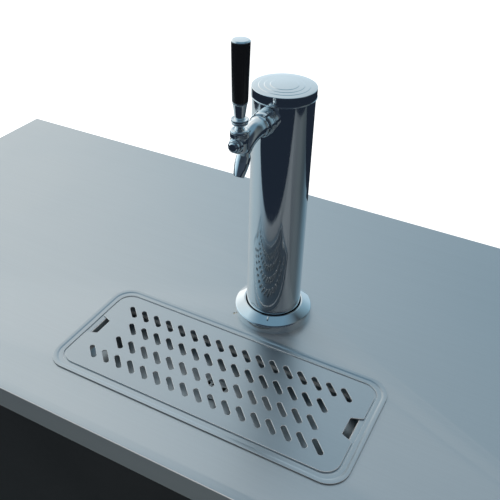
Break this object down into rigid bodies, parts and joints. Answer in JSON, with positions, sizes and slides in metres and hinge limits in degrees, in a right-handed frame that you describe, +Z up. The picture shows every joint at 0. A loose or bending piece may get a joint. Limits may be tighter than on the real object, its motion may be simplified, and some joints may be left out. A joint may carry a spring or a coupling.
{
  "type": "draft beer cooler",
  "caption": "Insulated two-door cooler cabinet with a stainless worktop, flush slotted drip tray and one lever tap on a chrome column",
  "frame": {"origin": "on the floor under the middle of the worktop", "axes": "+X along the worktop to the right as seen from the doors, +Y from the doors to the back, +Z up"},
  "size_m": [1.486, 0.632, 1.3662],
  "materials": {
    "black_steel": "satin black paint",
    "stainless": "brushed, satin",
    "zinc_steel": "zinc plated",
    "chrome": "polished",
    "liner_metal": "satin",
    "fin_metal": "mill finish",
    "copper": "drawn copper tube",
    "foam": "rigid foam",
    "dark_foam": "soft closed-cell foam",
    "liner_plastic": "vacuum-formed sheet",
    "gasket_rubber": "soft",
    "black_plastic": "moulded",
    "grip_plastic": "moulded, polished",
    "hose": "clear hose"
  },
  "bodies": {
    "cabinet": {"outer_case": "black_steel", "case_insulation": "foam", "inner_liner": "liner_metal", "front_frame": "black_steel", "door_rails": "zinc_steel", "worktop": "stainless", "worktop_insulation": "foam", "machine_grille": "black_steel", "levelling_feet": "black_steel", "hinge_brackets": "zinc_steel", "compressor": "black_steel", "compressor_mounts": "gasket_rubber", "condenser_coil": "fin_metal", "condenser_shroud": "black_steel", "condenser_motor": "black_steel", "refrigerant_lines": "copper", "condensate_tray": "black_plastic", "evaporator_coil": "fin_metal", "evaporator_housing": "liner_metal", "evaporator_motor": "black_steel", "thermostat": "black_plastic", "tray_pan": "stainless", "drain_strainer": "stainless", "drain_tailpiece": "zinc_steel", "drain_nut": "black_plastic", "tower_gasket": "gasket_rubber", "tower_flange": "zinc_steel", "tower_screws": "zinc_steel", "tower_column": "chrome", "column_insulation": "dark_foam", "shank": "chrome", "shank_flange": "chrome", "shank_nut": "zinc_steel", "shank_elbow": "chrome", "beer_line": "hose", "coupling_nut": "chrome", "faucet_body": "chrome", "faucet_bonnet": "chrome", "front_plug": "chrome"},
    "door_left": {"door_left_panel": "black_steel", "door_left_core": "foam", "door_left_liner": "liner_plastic", "door_left_gasket": "gasket_rubber", "door_left_handle": "black_plastic"},
    "door_right": {"door_right_panel": "black_steel", "door_right_core": "foam", "door_right_liner": "liner_plastic", "door_right_gasket": "gasket_rubber", "door_right_handle": "black_plastic"},
    "tap_lever": {"faucet_lever": "chrome", "lever_collar": "chrome", "tap_handle": "grip_plastic", "handle_cap": "chrome"},
    "tap_shaft": {"faucet_shaft": "zinc_steel"},
    "drip_grille": {"tray_grille": "stainless"},
    "tower_trim": {"trim_ring": "chrome"},
    "tower_cap": {"column_cap": "chrome"},
    "condenser_fan_rotor": {"condenser_fan": "fin_metal"},
    "evaporator_fan_rotor": {"evaporator_fan": "black_plastic"},
    "thermostat_dial": {"thermostat_knob": "black_plastic"}
  },
  "joints": [
    {"name": "door_left_hinge", "type": "hinge", "parent": "cabinet", "child": "door_left", "pos_m": [-0.392, -0.292, 0.47], "axis": [0, 0, -1], "range_deg": [0, 110]},
    {"name": "door_right_hinge", "type": "hinge", "parent": "cabinet", "child": "door_right", "pos_m": [0.722, -0.292, 0.47], "axis": [0, 0, 1], "range_deg": [0, 110]},
    {"name": "tap_lever_hinge", "type": "hinge", "parent": "cabinet", "child": "tap_lever", "pos_m": [0, -0.1185, 1.267], "axis": [1, 0, 0], "range_deg": [0, 30]},
    {"name": "tap_shaft_slide", "type": "slide", "parent": "cabinet", "child": "tap_shaft", "axis": [0, 1, 0], "range_m": [0, 0.0069]},
    {"name": "drip_grille_lift", "type": "slide", "parent": "cabinet", "child": "drip_grille", "axis": [0, 0, 1], "range_m": [0, 0.06]},
    {"name": "tower_trim_lift", "type": "slide", "parent": "cabinet", "child": "tower_trim", "axis": [0, 0, 1], "range_m": [0, 0.25]},
    {"name": "tower_cap_lift", "type": "slide", "parent": "cabinet", "child": "tower_cap", "axis": [0, 0, 1], "range_m": [0, 0.03]},
    {"name": "condenser_fan_spin", "type": "hinge", "parent": "cabinet", "child": "condenser_fan_rotor", "pos_m": [-0.573, -0.152, 0.188], "axis": [0, 1, 0], "continuous": true},
    {"name": "evaporator_fan_spin", "type": "hinge", "parent": "cabinet", "child": "evaporator_fan_rotor", "pos_m": [-0.2443, 0.0658, 0.735], "axis": [1, 0, 0], "continuous": true},
    {"name": "thermostat_turn", "type": "hinge", "parent": "cabinet", "child": "thermostat_dial", "pos_m": [-0.3008, -0.1265, 0.735], "axis": [0, -1, 0], "range_deg": [0, 270]}
  ],
  "couplings": [
    {"joint": "tap_shaft_slide", "follows": "tap_lever_hinge", "m_per_rad": 0.013}
  ]
}
